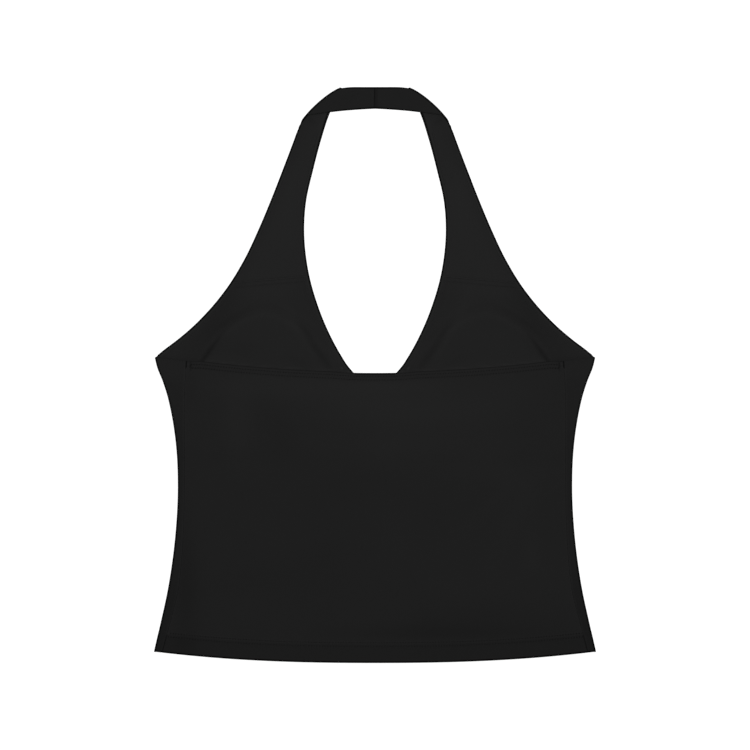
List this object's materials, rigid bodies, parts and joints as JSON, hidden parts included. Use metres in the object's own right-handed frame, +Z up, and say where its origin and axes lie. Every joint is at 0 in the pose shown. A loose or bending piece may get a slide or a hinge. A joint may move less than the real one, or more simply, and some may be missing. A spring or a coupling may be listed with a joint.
{
  "type": "halter crop top",
  "caption": "Sleeveless halter-neck crop top laid flat with its back up, padded cups, bust lining and neck strap.",
  "frame": {"origin": "on the surface the top lies on, under the middle of its outline", "axes": "+X across the garment to the right, +Y from the hem towards the neckband, +Z up from the surface, out of the back panel"},
  "size_m": [0.3914, 0.5103, 0.0124],
  "materials": {
    "outer_knit": "matte fine jersey knit, dyed black",
    "lining_knit": "matte fine jersey knit, dyed black",
    "pad_foam": "fabric-faced soft foam, dyed black"
  },
  "bodies": {
    "root": {"front_panel": "outer_knit", "back_panel": "outer_knit", "bust_lining": "lining_knit", "cup_pad_left": "pad_foam", "cup_pad_right": "pad_foam"}
  },
  "joints": []
}
